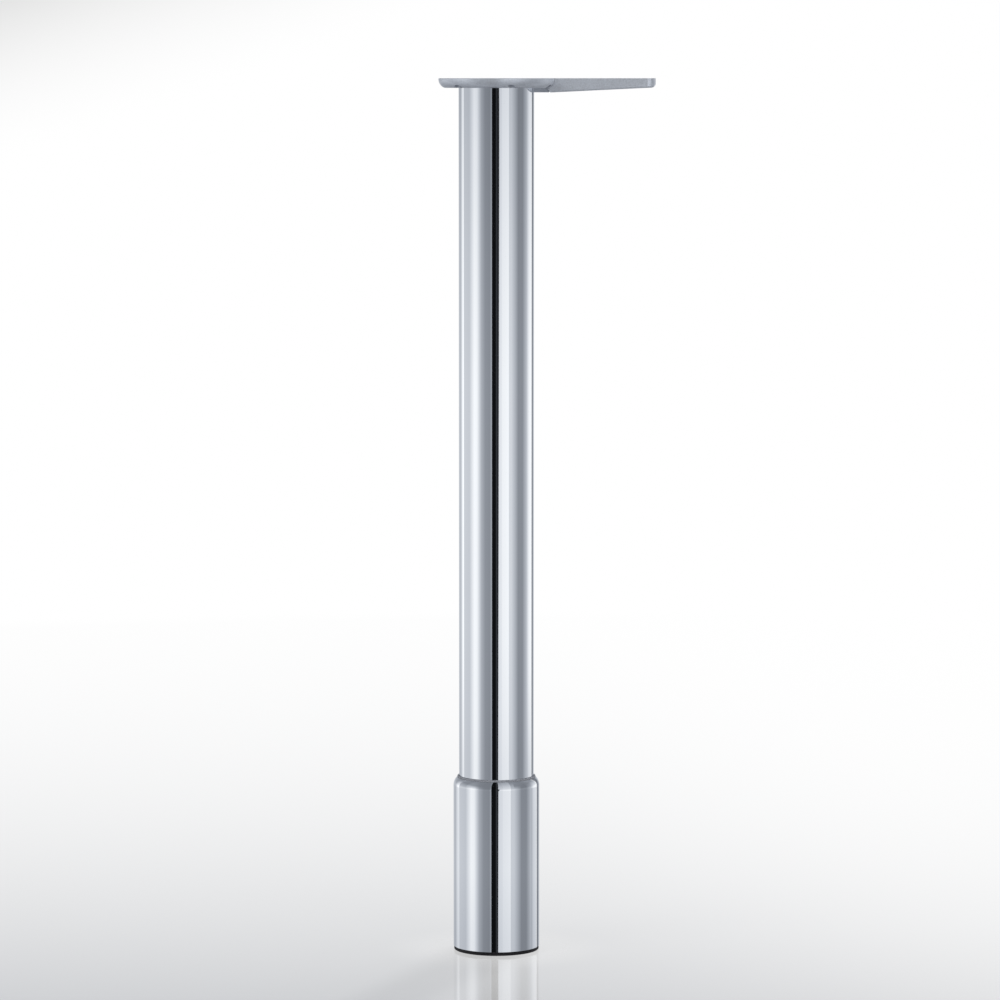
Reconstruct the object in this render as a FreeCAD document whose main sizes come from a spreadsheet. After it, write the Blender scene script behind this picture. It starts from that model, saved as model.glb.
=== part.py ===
import FreeCAD, Part
import math
import os
import re
import Sketcher

# Height adjustable table leg, in millimetres. The origin is on the tube's axis, on the floor.
# +X and +Y point along the bracket's two arms and +Z points up. The leg is drawn at its lowest stop.

SIZES = {
    # whole leg
    "leg_height": 700.0,
    "lift_travel": 80.0,
    # clearances
    "running_gap": 0.08,
    "seating_gap": 0.05,
    "stop_gap": 0.5,
    "free_gap": 0.5,
    # upper tube
    "tube_radius": 30.0,
    "tube_wall": 2.0,
    # foot sleeve and its rolled mouth
    "sleeve_room": 3.0,
    "sleeve_wall": 1.5,
    "sleeve_height": 140.0,
    "sleeve_edge": 0.3,
    "roll_inset": 2.8,
    "roll_height": 6.4,
    "rim_height": 1.0,
    "rim_room": 0.9,
    # guide ring in the mouth
    "ring_length": 14.0,
    "ring_lip_width": 1.4,
    "ring_lip_height": 1.4,
    "ring_lip_edge": 0.4,
    # glide pad and plate
    "pad_height": 2.4,
    "pad_inset": 0.4,
    "pad_edge": 0.5,
    "pad_gap": 0.3,
    "bead_radius": 24.0,
    "bead_width": 3.0,
    "bead_height": 1.8,
    "plate_height": 5.0,
    "plate_room": 0.6,
    # shoulder screw, thrust washer and clamp washer
    "pivot_radius": 6.0,
    "pivot_head_radius": 9.0,
    "pivot_head_height": 2.2,
    "pivot_head_room": 0.4,
    "pivot_play": 0.2,
    "pivot_key": 6.0,
    "pivot_key_depth": 3.5,
    "spindle_bolt_radius": 4.0,
    "spindle_bolt_reach": 15.0,
    "washer_room": 0.2,
    "thrust_radius": 23.0,
    "thrust_height": 1.25,
    "clamp_radius": 11.0,
    "clamp_height": 1.5,
    # foot base
    "base_height": 8.0,
    "base_web": 4.0,
    "base_rim": 3.0,
    "base_hub_radius": 15.0,
    "base_rib_width": 2.5,
    # spindle and its stop
    "spindle_radius": 10.0,
    "spindle_lead_in": 1.5,
    "spigot_flats": 14.0,
    "spigot_short": 0.3,
    "stop_radius": 13.0,
    "stop_height": 3.0,
    "stop_bolt_length": 22.0,
    "stop_head_radius": 6.5,
    "stop_head_height": 8.0,
    "stop_key": 6.0,
    "stop_key_depth": 4.0,
    "bore_spare": 3.0,
    # nut and its screws
    "nut_flange_lap": 1.5,
    "nut_flange_height": 4.0,
    "nut_radius": 14.0,
    "nut_height": 30.0,
    "nut_screw_radius": 2.0,
    "nut_screw_reach": 10.0,
    "nut_screw_head_radius": 3.5,
    "nut_screw_head_height": 2.2,
    "nut_screw_room": 0.2,
    "nut_screw_key": 2.5,
    "nut_screw_key_depth": 1.2,
    # plug and its wear ring
    "plug_flange_width": 1.9,
    "plug_flange_height": 6.0,
    "plug_height": 30.0,
    "plug_wall": 2.5,
    "plug_floor": 8.0,
    "plug_room": 3.0,
    "plug_hub_short": 1.0,
    "plug_rib_width": 2.0,
    "plug_chamfer": 1.0,
    "groove_start": 1.2,
    "groove_height": 3.6,
    "groove_depth": 1.4,
    "wear_slit": 1.5,
    # top insert and centre bolt
    "insert_height": 6.0,
    "insert_boss_radius": 10.0,
    "insert_boss_height": 12.0,
    "insert_drain_radius": 3.5,
    "insert_drain_pitch": 19.0,
    "bolt_radius": 5.0,
    "bolt_length": 24.0,
    "bolt_head_radius": 8.0,
    "bolt_head_height": 10.0,
    "bolt_key": 8.0,
    "bolt_key_depth": 5.0,
    "bolt_room": 0.5,
    "bolt_sink": 1.5,
    "lock_radius": 9.0,
    "lock_height": 2.2,
    "lock_slit": 1.5,
    # bracket dish
    "dish_overhang": 16.0,
    "dish_depth": 7.6,
    "flank_start": 0.6,
    "flank_inset": 4.8,
    "flank_arc": 7.5,
    "dish_edge": 0.4,
    "hub_radius": 15.0,
    "hub_floor": 6.0,
    "spigot_depth": 10.4,
    "spigot_wall": 3.0,
    "spigot_chamfer": 0.8,
    "core_rim": 13.5,
    "core_depth": 4.4,
    "dish_rib_width": 3.0,
    "screw_inset": 6.8,
    "screw_radius": 2.75,
    "screw_recess_radius": 5.3,
    "screw_seat": 3.6,
    # bracket arms
    "arm_offset": 6.5,
    "arm_width": 36.6,
    "arm_reach": 127.0,
    "arm_root": 20.0,
    "arm_step": 40.5,
    "arm_step_slope": 2.8,
    "arm_depth": 11.3,
    "arm_tip_depth": 7.3,
    "arm_tip_radius": 6.8,
    "arm_tip_round": 3.6,
    "arm_edge": 1.5,
    "arm_wall": 3.5,
    "arm_floor": 2.8,
    "arm_core_start": 49.0,
    "arm_screw_first": 75.0,
    "arm_screw_spacing": 37.0,
    "arm_boss_radius": 7.0,
    "arm_rib_width": 2.5,
    "arm_corner": 6.0,
}
DISH_SCREWS = 6
NUT_SCREWS = 4
BASE_RIBS = 6
PLUG_RIBS = 8
DISH_RIBS = 6
DRAIN_HOLES = 4
FULL_TURN = 360.0
HALF = 0.5
ROOT_3 = math.sqrt(3.0)
DIAGONAL = 45.0
DIAGONAL_SHARE = math.cos(math.radians(DIAGONAL))
# how near a measured edge must lie to the place that is looked for
NEAR = 0.01

# radii and levels that several pieces share, each worked out from the sizes above
TUBE_BORE = "(tube_radius - tube_wall)"
SLEEVE_BORE = "(tube_radius + sleeve_room)"
SLEEVE_RADIUS = "(tube_radius + sleeve_room + sleeve_wall)"
SLEEVE_LOW = "(pad_height + pad_gap)"
RIM_BORE = "(tube_radius + rim_room)"
PLATE_TOP = "(pad_height + plate_height)"
BASE_LOW = f"({PLATE_TOP} + thrust_height + seating_gap)"
BASE_TOP = f"({BASE_LOW} + base_height)"
NUT_LOW = f"({BASE_TOP} + stop_gap)"
NUT_TOP = f"({NUT_LOW} + nut_height)"
PLUG_LOW = f"({NUT_LOW} + nut_flange_height)"
TUBE_LOW = f"({PLUG_LOW} + plug_flange_height)"
PLUG_INNER = f"({TUBE_BORE} - plug_wall)"
PLUG_HUB = f"({PLUG_INNER} - plug_room)"
NUT_FLANGE = f"({PLUG_HUB} + nut_flange_lap)"
NUT_PITCH = f"((nut_radius + {PLUG_HUB}) / 2)"
SPINDLE_TOP = f"({NUT_TOP} + lift_travel + stop_gap)"
SPINDLE_LENGTH = f"({SPINDLE_TOP} - {BASE_TOP})"
DISH_LOW = "(leg_height - dish_depth)"
DISH_RADIUS = "(tube_radius + dish_overhang)"
HUB_SEAT = "(bolt_sink + bolt_head_height + lock_height)"
HUB_DEPTH = f"({HUB_SEAT} + hub_floor)"
BOLT_TIP = f"(leg_height - {HUB_SEAT} + lock_height - bolt_length)"

doc = FreeCAD.newDocument("height_adjustable_table_leg")
sheet = doc.addObject("Spreadsheet::Sheet", "Sizes")
for row, (alias, size) in enumerate(SIZES.items(), start=1):
    sheet.set(f"A{row}", alias)
    sheet.set(f"B{row}", str(size))
    sheet.setAlias(f"B{row}", alias)
doc.recompute()

WORD = re.compile(r"\b[a-z][a-z_]+\b")


def link(text):
    """The expression that reads the named sizes in text from the sheet."""
    return WORD.sub(lambda found: f"Sizes.{found.group()}", text)


def number(text):
    """What the named sizes in text come to now, in millimetres."""
    plain = WORD.sub(lambda found: repr(float(sheet.get(found.group()))), text)
    return FreeCAD.Units.Quantity(plain).Value


def tangent_arc(across, along):
    """Radius of the arc that leaves a wall in its own direction and has moved across after rising along."""
    return f"((({across}) * ({across}) + ({along}) * ({along})) / (2 * ({across})))"


def plane(body, role):
    """The body's own origin plane or axis with this role."""
    return next(item for item in body.Origin.OriginFeatures if item.Role == role)


def new_body(label, height="0"):
    """An empty body whose own zero stands at this height over the floor."""
    body = doc.addObject("PartDesign::Body", label)
    body.Label = label
    body.AllowCompound = True
    body.setExpression(".Placement.Base.z", link(height))
    return body


def new_sketch(body, name, role, lift):
    """A sketch on one of the body's planes, moved along that plane's normal."""
    sketch = body.newObject("Sketcher::SketchObject", name)
    sketch.AttachmentSupport = (plane(body, role), "")
    sketch.MapMode = "FlatFace"
    sketch.setExpression(".AttachmentOffset.Base.z", link(lift))
    return sketch


def pin(sketch, name, axis, item, spot, text):
    """Holds one coordinate of a sketch point at the value of text."""
    value = number(text)
    kind = {"x": "DistanceX", "y": "DistanceY"}[axis]
    held = {"x": -2, "y": -1}[axis]
    if text == "0":
        sketch.addConstraint(Sketcher.Constraint("PointOnObject", item, spot, held))
        return
    index = sketch.addConstraint(Sketcher.Constraint(kind, -1, 1, item, spot, value))
    sketch.renameConstraint(index, name)
    sketch.setExpression(f"Constraints.{name}", link(text))


def arc_side(start, end, radius, turn):
    """The arc from start to end, and which of its ends is which; turn is 1 to bend left and -1 to bend right."""
    chord = end - start
    side = FreeCAD.Vector(-chord.y, chord.x, 0) * (turn / chord.Length)
    rise = math.sqrt(radius * radius - (chord.Length * HALF) ** 2)
    centre = start + chord * HALF + side * rise
    circle = Part.Circle(centre, FreeCAD.Vector(0, 0, 1), radius)
    first, last = (start, end) if turn > 0 else (end, start)
    angles = [math.atan2(p.y - centre.y, p.x - centre.x) for p in (first, last)]
    ends = (1, 2) if turn > 0 else (2, 1)
    return Part.ArcOfCircle(circle, *angles), ends


def outline(body, name, role, corners, lift="0"):
    """A closed outline. Each corner is (x, y), with a radius and a turn where its next side is an arc."""
    sketch = new_sketch(body, name, role, lift)
    spots = [FreeCAD.Vector(number(c[0]), number(c[1]), 0) for c in corners]
    ends = []
    for index, corner in enumerate(corners):
        start, end = spots[index], spots[(index + 1) % len(spots)]
        if len(corner) > 2:
            side, order = arc_side(start, end, number(corner[2]), corner[3])
        else:
            side, order = Part.LineSegment(start, end), (1, 2)
        sketch.addGeometry(side)
        ends.append(order)
    for index, corner in enumerate(corners):
        after = (index + 1) % len(corners)
        meet = Sketcher.Constraint("Coincident", index, ends[index][1], after, ends[after][0])
        sketch.addConstraint(meet)
        pin(sketch, f"across_{index}", "x", index, ends[index][0], corner[0])
        pin(sketch, f"along_{index}", "y", index, ends[index][0], corner[1])
        if len(corner) > 2:
            bend = sketch.addConstraint(Sketcher.Constraint("Radius", index, number(corner[2])))
            sketch.renameConstraint(bend, f"bend_{index}")
            sketch.setExpression(f"Constraints.bend_{index}", link(corner[2]))
    return sketch


def discs(body, name, centres, radius, lift="0"):
    """A sketch of equal circles in the ground plane."""
    sketch = new_sketch(body, name, "XY_Plane", lift)
    for index, (across, along) in enumerate(centres):
        spot = FreeCAD.Vector(number(across), number(along), 0)
        sketch.addGeometry(Part.Circle(spot, FreeCAD.Vector(0, 0, 1), number(radius)))
        pin(sketch, f"across_{index}", "x", index, 3, across)
        pin(sketch, f"along_{index}", "y", index, 3, along)
        size = sketch.addConstraint(Sketcher.Constraint("Radius", index, number(radius)))
        sketch.renameConstraint(size, f"radius_{index}")
        sketch.setExpression(f"Constraints.radius_{index}", link(radius))
    return sketch


def hexagon(body, name, flats, lift="0", centre="0"):
    """A hexagon sketch in the ground plane, given its width across flats."""
    corner = f"({flats} / {ROOT_3!r})"
    half = f"({corner} / 2)"
    flat = f"({flats} / 2)"
    middle = "" if centre == "0" else f"{centre} + "
    corners = [
        (f"{middle}{corner}", "0"),
        (f"{middle}{half}", flat),
        (f"{middle}(0 - {half})", flat),
        (f"{middle}(0 - {corner})", "0"),
        (f"{middle}(0 - {half})", f"(0 - {flat})"),
        (f"{middle}{half}", f"(0 - {flat})"),
    ]
    return outline(body, name, "XY_Plane", corners, lift)


def box(body, name, low, high, lift="0"):
    """A rectangle sketch in the ground plane between two corners."""
    corners = [low, (high[0], low[1]), high, (low[0], high[1])]
    return outline(body, name, "XY_Plane", corners, lift)


def turned(body, name, corners, kind="Revolution"):
    """A full turn of a profile of (radius, height) corners about the body's axis."""
    sketch = outline(body, f"{name}_profile", "XZ_Plane", corners)
    feature = body.newObject(f"PartDesign::{kind}", name)
    feature.Profile = sketch
    feature.ReferenceAxis = (sketch, ["V_Axis"])
    feature.Angle = FULL_TURN
    return settle(body, feature)


def settle(body, feature):
    """Recomputes a new feature and makes it the body's latest."""
    body.Tip = feature
    doc.recompute()
    return feature


def pad(body, sketch, length, down=False):
    """Adds the sketch's area over a length."""
    feature = body.newObject("PartDesign::Pad", f"{sketch.Name}_pad")
    feature.Profile = sketch
    feature.setExpression("Length", link(length))
    feature.Reversed = down
    return settle(body, feature)


def cut(body, sketch, length, up=False):
    """Cuts the sketch's area over a length, and makes sure that something was cut."""
    before = body.Tip.Shape.Volume
    feature = body.newObject("PartDesign::Pocket", f"{sketch.Name}_cut")
    feature.Profile = sketch
    feature.setExpression("Length", link(length))
    feature.Reversed = up
    settle(body, feature)
    if not feature.Shape.Volume < before:
        raise ValueError(f"{feature.Name} cuts nothing")
    return feature


def around(body, features, count):
    """Repeats features evenly round the body's axis."""
    pattern = body.newObject("PartDesign::PolarPattern", f"{features[-1].Name}_ring")
    pattern.Originals = features
    pattern.Axis = (plane(body, "Z_Axis"), [""])
    pattern.Angle = FULL_TURN
    pattern.Occurrences = count
    return settle(body, pattern)


def rounded(body, name, base, radius, wanted):
    """Fillets the edges of base that wanted picks."""
    names = [f"Edge{n}" for n, edge in enumerate(base.Shape.Edges, start=1) if wanted(edge)]
    if not names:
        raise ValueError(f"{name} finds no edge")
    feature = body.newObject("PartDesign::Fillet", name)
    feature.Base = (base, names)
    feature.setExpression("Radius", link(radius))
    return settle(body, feature)


def ring(label, height, inner, outer, tall):
    """A plain ring that stands at a height."""
    body = new_body(label, height)
    corners = [(inner, "0"), (outer, "0"), (outer, tall), (inner, tall)]
    turned(body, f"{label}_body", corners)
    return body


def slit(body, name, outer, width, tall):
    """Cuts a ring open on the side of +X."""
    sketch = box(
        body, name, ("0", f"(0 - {width} / 2)"), (f"({outer} * 2)", f"({width} / 2)"), tall
    )
    return cut(body, sketch, tall)


def socket_screw(label, tip, shank, length, head, head_height, key, key_depth):
    """A cylinder head screw that points down, with a hexagon socket."""
    body = new_body(label, tip)
    top = f"({length} + {head_height})"
    corners = [
        ("0", "0"),
        (shank, "0"),
        (shank, length),
        (head, length),
        (head, top),
        ("0", top),
    ]
    turned(body, f"{label}_body", corners)
    cut(body, hexagon(body, f"{label}_socket", key, top), key_depth)
    return body


def make_glide_pad():
    """Black pad with a bevelled foot edge and a bead that presses into the plate."""
    body = new_body("glide_pad")
    edge = f"({SLEEVE_RADIUS} - pad_inset)"
    bead = "(bead_radius + bead_width)"
    bead_top = "(pad_height + bead_height)"
    corners = [
        ("0", "0"),
        (f"({edge} - pad_edge)", "0"),
        (edge, "pad_edge"),
        (edge, "pad_height"),
        (bead, "pad_height"),
        (bead, bead_top),
        ("bead_radius", bead_top),
        ("bead_radius", "pad_height"),
        ("0", "pad_height"),
    ]
    turned(body, "pad_body", corners)
    return body


def make_glide_plate():
    """Moulded plate with a groove for the pad's bead and a recess for the pivot screw's head."""
    body = new_body("glide_plate", "pad_height")
    bore = "(pivot_radius + running_gap)"
    recess = "(pivot_head_radius + free_gap)"
    recess_top = "(pivot_head_room + pivot_head_height + pivot_play)"
    bead_in = "(bead_radius - seating_gap)"
    bead_out = "(bead_radius + bead_width + seating_gap)"
    bead_top = "(bead_height + seating_gap)"
    edge = f"({SLEEVE_BORE} - plate_room)"
    corners = [
        (bore, recess_top),
        (recess, recess_top),
        (recess, "0"),
        (bead_in, "0"),
        (bead_in, bead_top),
        (bead_out, bead_top),
        (bead_out, "0"),
        (edge, "0"),
        (edge, "plate_height"),
        (bore, "plate_height"),
    ]
    turned(body, "plate_body", corners)
    return body


def make_pivot_screw():
    """Shoulder screw whose shoulder is the glide's pivot and whose thread holds the spindle to the base."""
    low = "(pad_height + pivot_head_room)"
    body = new_body("pivot_screw", low)
    shoulder = f"({BASE_LOW} - {low})"
    tip = f"({shoulder} + spindle_bolt_reach)"
    corners = [
        ("0", "0"),
        ("pivot_head_radius", "0"),
        ("pivot_head_radius", "pivot_head_height"),
        ("pivot_radius", "pivot_head_height"),
        ("pivot_radius", shoulder),
        ("spindle_bolt_radius", shoulder),
        ("spindle_bolt_radius", tip),
        ("0", tip),
    ]
    turned(body, "pivot_body", corners)
    cut(body, hexagon(body, "pivot_socket", "pivot_key"), "pivot_key_depth", up=True)
    return body


def make_foot_base():
    """Cast disc in the bottom of the sleeve: rim, web, ribs and a hub with a hexagon seat for the spindle."""
    body = new_body("foot_base", BASE_LOW)
    recess = "(clamp_radius + free_gap)"
    rim = f"({SLEEVE_BORE} - base_rim)"
    corners = [
        ("0", "clamp_height"),
        (recess, "clamp_height"),
        (recess, "0"),
        (SLEEVE_BORE, "0"),
        (SLEEVE_BORE, "base_height"),
        (rim, "base_height"),
        (rim, "base_web"),
        ("base_hub_radius", "base_web"),
        ("base_hub_radius", "base_height"),
        ("0", "base_height"),
    ]
    turned(body, "base_body", corners)
    rib = box(
        body,
        "base_rib",
        ("(base_hub_radius - base_rim / 2)", "(0 - base_rib_width / 2)"),
        (f"({rim} + base_rim / 2)", "(base_rib_width / 2)"),
        "base_web",
    )
    around(body, [pad(body, rib, "(base_height - base_web)")], BASE_RIBS)
    cut(body, hexagon(body, "base_seat", "spigot_flats", "base_height"), "base_height")
    return body


def make_spindle():
    """Spindle on the base: a hexagon spigot below, the threaded shank, and a tapped bore at each end."""
    body = new_body("threaded_spindle", BASE_TOP)
    bore_low = f"({SPINDLE_LENGTH} + stop_height - stop_bolt_length - bore_spare)"
    spigot = "(base_height - clamp_height - spigot_short)"
    lead = "(spindle_radius - spindle_lead_in)"
    corners = [
        ("0", "0"),
        ("spindle_radius", "0"),
        ("spindle_radius", f"({SPINDLE_LENGTH} - spindle_lead_in)"),
        (lead, SPINDLE_LENGTH),
        ("spindle_bolt_radius", SPINDLE_LENGTH),
        ("spindle_bolt_radius", bore_low),
        ("0", bore_low),
    ]
    turned(body, "spindle_shank", corners)
    pad(body, hexagon(body, "spindle_spigot", "spigot_flats"), spigot, down=True)
    bore = discs(
        body, "spindle_bore", [("0", "0")], "spindle_bolt_radius", f"(0 - {spigot})"
    )
    cut(body, bore, "(spindle_bolt_reach + bore_spare)", up=True)
    return body


def make_spindle_nut():
    """Flanged nut with recessed screw holes in its flange."""
    body = new_body("spindle_nut", NUT_LOW)
    bore = "(spindle_radius + running_gap)"
    corners = [
        (bore, "0"),
        (NUT_FLANGE, "0"),
        (NUT_FLANGE, "nut_flange_height"),
        ("nut_radius", "nut_flange_height"),
        ("nut_radius", "nut_height"),
        (bore, "nut_height"),
    ]
    turned(body, "nut_body", corners)
    spot = [(NUT_PITCH, "0")]
    seat = "(nut_screw_head_height + nut_screw_room)"
    hole = discs(body, "nut_hole", spot, "(nut_screw_radius + nut_screw_room)")
    recess = discs(body, "nut_recess", spot, "(nut_screw_head_radius + nut_screw_room)")
    cuts = [cut(body, hole, "nut_flange_height", up=True), cut(body, recess, seat, up=True)]
    around(body, cuts, NUT_SCREWS)
    return body


def make_nut_screws():
    """Low head screws that hold the nut up against the plug."""
    body = new_body("nut_screws", f"({NUT_LOW} + nut_screw_room)")
    spot = [(NUT_PITCH, "0")]
    shank_length = "(nut_flange_height - nut_screw_room + nut_screw_reach)"
    head = pad(
        body, discs(body, "nut_screw_head", spot, "nut_screw_head_radius"),
        "nut_screw_head_height",
    )
    shank = pad(
        body, discs(body, "nut_screw_shank", spot, "nut_screw_radius"), shank_length
    )
    key = hexagon(body, "nut_screw_socket", "nut_screw_key", centre=NUT_PITCH)
    socket = cut(body, key, "nut_screw_key_depth", up=True)
    around(body, [head, shank, socket], NUT_SCREWS)
    return body


def make_end_plug():
    """Moulded plug: a grooved guide flange under the tube, a ribbed cup in its bore and a hub round the nut."""
    body = new_body("tube_end_plug", PLUG_LOW)
    bore = "nut_radius"
    hub_top = "(nut_height - nut_flange_height - plug_hub_short)"
    flange = "(tube_radius + plug_flange_width)"
    groove = f"({flange} - groove_depth)"
    groove_top = "(groove_start + groove_height)"
    corners = [
        (bore, "0"),
        (flange, "0"),
        (flange, "groove_start"),
        (groove, "groove_start"),
        (groove, groove_top),
        (flange, groove_top),
        (flange, "plug_flange_height"),
        (TUBE_BORE, "plug_flange_height"),
        (TUBE_BORE, "(plug_height - plug_chamfer)"),
        (f"({TUBE_BORE} - plug_chamfer)", "plug_height"),
        (PLUG_INNER, "plug_height"),
        (PLUG_INNER, "plug_floor"),
        (PLUG_HUB, "plug_floor"),
        (PLUG_HUB, hub_top),
        (bore, hub_top),
    ]
    turned(body, "plug_body", corners)
    rib = box(
        body,
        "plug_rib",
        (f"({PLUG_HUB} - plug_hub_short)", "(0 - plug_rib_width / 2)"),
        (f"({PLUG_INNER} + plug_wall / 2)", "(plug_rib_width / 2)"),
        "plug_floor",
    )
    around(body, [pad(body, rib, f"({hub_top} - plug_floor - plug_hub_short)")], PLUG_RIBS)
    hole = discs(body, "plug_hole", [(NUT_PITCH, "0")], "nut_screw_radius")
    around(body, [cut(body, hole, "(nut_screw_reach + free_gap)", up=True)], NUT_SCREWS)
    return body


def make_wear_ring():
    """Split ring in the plug's groove that runs in the sleeve's bore."""
    height = f"({PLUG_LOW} + groove_start + seating_gap)"
    inner = "(tube_radius + plug_flange_width - groove_depth)"
    outer = f"({SLEEVE_BORE} - running_gap)"
    tall = "(groove_height - 2 * seating_gap)"
    body = ring("plug_wear_ring", height, inner, outer, tall)
    slit(body, "wear_ring_slit", outer, "wear_slit", tall)
    return body


def make_top_insert():
    """Threaded disc welded in the top of the tube, with drain holes for plating."""
    height = f"(leg_height - {HUB_DEPTH} - insert_height - insert_boss_height)"
    body = new_body("tube_top_insert", height)
    top = "(insert_boss_height + insert_height)"
    corners = [
        ("bolt_radius", "0"),
        ("insert_boss_radius", "0"),
        ("insert_boss_radius", "insert_boss_height"),
        (TUBE_BORE, "insert_boss_height"),
        (TUBE_BORE, top),
        ("bolt_radius", top),
    ]
    turned(body, "insert_body", corners)
    spot = [("insert_drain_pitch", "0")]
    drain = discs(body, "insert_drain", spot, "insert_drain_radius", top)
    around(body, [cut(body, drain, "insert_height")], DRAIN_HOLES)
    return body


def make_lock_washer():
    """Split spring washer under the centre bolt's head."""
    height = f"(leg_height - {HUB_SEAT})"
    body = ring("lock_washer", height, "(bolt_radius + washer_room)", "lock_radius", "lock_height")
    slit(body, "lock_washer_slit", "lock_radius", "lock_slit", "lock_height")
    return body


def make_foot_sleeve():
    """Chromed sleeve whose mouth is rolled in towards the tube."""
    body = new_body("foot_sleeve", SLEEVE_LOW)
    top = f"(sleeve_height - {SLEEVE_LOW})"
    start = f"({top} - roll_height)"
    rim = f"({SLEEVE_RADIUS} - roll_inset)"
    inset = f"({SLEEVE_BORE} - {RIM_BORE})"
    corners = [
        (SLEEVE_BORE, "0"),
        (f"({SLEEVE_RADIUS} - sleeve_edge)", "0"),
        (SLEEVE_RADIUS, "sleeve_edge"),
        (SLEEVE_RADIUS, start, tangent_arc("roll_inset", "roll_height"), 1),
        (rim, top),
        (RIM_BORE, top),
        (RIM_BORE, f"({top} - rim_height)", tangent_arc(inset, "(roll_height - rim_height)"), -1),
        (SLEEVE_BORE, start),
    ]
    turned(body, "sleeve_body", corners)
    return body


def make_guide_ring():
    """Snap-in bush on which the sleeve's mouth runs along the tube, with a lip over the rim."""
    collar = "(ring_length + roll_height)"
    body = new_body("sleeve_guide_ring", f"(sleeve_height - {collar})")
    bore = "(tube_radius + running_gap)"
    neck = f"({RIM_BORE} - seating_gap)"
    outer = f"({SLEEVE_BORE} - seating_gap)"
    lip = "(tube_radius + ring_lip_width)"
    lip_low = f"({collar} + seating_gap)"
    lip_top = f"({collar} + ring_lip_height)"
    corners = [
        (bore, "0"),
        (outer, "0"),
        (outer, "ring_length"),
        (neck, "ring_length"),
        (neck, lip_low),
        (lip, lip_low),
        (lip, f"({lip_top} - ring_lip_edge)"),
        (f"({lip} - ring_lip_edge)", lip_top),
        (bore, lip_top),
    ]
    turned(body, "guide_ring_body", corners)
    return body


def arm_depth_at(across):
    """How deep the arm is at a distance from the axis; it thins evenly towards its tip."""
    foot = "(arm_step + arm_step_slope)"
    return (
        f"(arm_depth - (arm_depth - arm_tip_depth) * ({across} - {foot})"
        f" / (arm_reach - {foot}))"
    )


def add_arm_ribs(body, wall_out, middle, between):
    """A rib along the middle of the arm's hollow and one across it between the bosses, both set into its floor."""
    half = "(arm_rib_width / 2)"
    sink = "(arm_floor / 2)"
    along = [
        ("arm_core_start", "0"),
        (wall_out, "0"),
        (wall_out, f"({sink} - {arm_depth_at(wall_out)})"),
        ("arm_core_start", f"({sink} - {arm_depth_at('arm_core_start')})"),
    ]
    lift = f"({half} - {middle})"
    pad(body, outline(body, "arm_rib", "XZ_Plane", along, lift), "arm_rib_width", down=True)
    inner = "(arm_wall / 2)"
    low = (f"({between} - {half})", f"(arm_offset + {inner})")
    high = (f"({between} + {half})", f"(arm_offset + arm_width - {inner})")
    cross = box(body, "arm_cross_rib", low, high)
    pad(body, cross, f"({arm_depth_at(between)} - {sink})", down=True)


def add_arm(body):
    """One arm along +X: a tapered bar with a rounded tip, cored from above, with two bosses for screws."""
    foot = "(arm_step + arm_step_slope)"
    corners = [
        ("arm_root", "0"),
        ("arm_reach", "0"),
        ("arm_reach", "(0 - arm_tip_depth)"),
        (foot, "(0 - arm_depth)"),
        ("arm_step", "(0 - dish_depth)"),
        ("arm_root", "(0 - dish_depth)"),
    ]
    side = outline(body, "arm_side", "XZ_Plane", corners, "(0 - arm_offset)")
    bar = pad(body, side, "arm_width", down=True)
    reach = number("arm_reach")

    def at_tip(edge):
        return all(abs(v.X - reach) < NEAR for v in edge.Vertexes) and upright(edge)

    def upright(edge):
        low, high = edge.Vertexes[0].Point, edge.Vertexes[-1].Point
        return abs(low.x - high.x) < NEAR and abs(low.y - high.y) < NEAR

    tip = rounded(body, "arm_tip", bar, "arm_tip_radius", at_tip)

    def on_underside(edge):
        middle = edge.CenterOfMass.x
        level = -number(arm_depth_at("arm_reach"))
        past_step = edge.BoundBox.XMin > number(foot) - NEAR
        under = edge.BoundBox.ZMax < level + NEAR
        return past_step and under and middle > number(foot) + NEAR

    rounded(body, "arm_under_edge", tip, "arm_edge", on_underside)
    inset, beyond = "(arm_reach - arm_tip_round)", "(arm_reach + arm_tip_round)"
    rise = "(arm_tip_round - arm_tip_depth)"
    nose = [
        ("arm_reach", rise, "arm_tip_round", -1),
        (inset, f"(0 - {arm_depth_at(inset)})"),
        (inset, "(0 - arm_depth)"),
        (beyond, "(0 - arm_depth)"),
        (beyond, rise),
    ]
    cut(body, outline(body, "arm_nose", "XZ_Plane", nose, "(0 - arm_offset)"), "arm_width")
    wall_out = "(arm_reach - arm_wall)"
    core = [
        ("arm_core_start", "0"),
        (wall_out, "0"),
        (wall_out, f"(arm_floor - {arm_depth_at(wall_out)})"),
        ("arm_core_start", f"(arm_floor - {arm_depth_at('arm_core_start')})"),
    ]
    lift = "(0 - arm_offset - arm_wall)"
    cut(body, outline(body, "arm_core", "XZ_Plane", core, lift), "(arm_width - 2 * arm_wall)")
    last = "(arm_screw_first + arm_screw_spacing)"
    middle = "(arm_offset + arm_width / 2)"
    spots = [("arm_screw_first", middle), (last, middle)]
    boss = f"(({arm_depth_at('arm_screw_first')} + {arm_depth_at(last)} - arm_floor) / 2)"
    pad(body, discs(body, "arm_boss", spots, "arm_boss_radius"), boss, down=True)
    add_arm_ribs(body, wall_out, middle, f"((arm_screw_first + {last}) / 2)")
    cut(body, discs(body, "arm_hole", spots, "screw_radius"), "arm_depth")
    seat = discs(body, "arm_recess", spots, "screw_recess_radius", "(0 - screw_seat)")
    cut(body, seat, "arm_depth")


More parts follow.
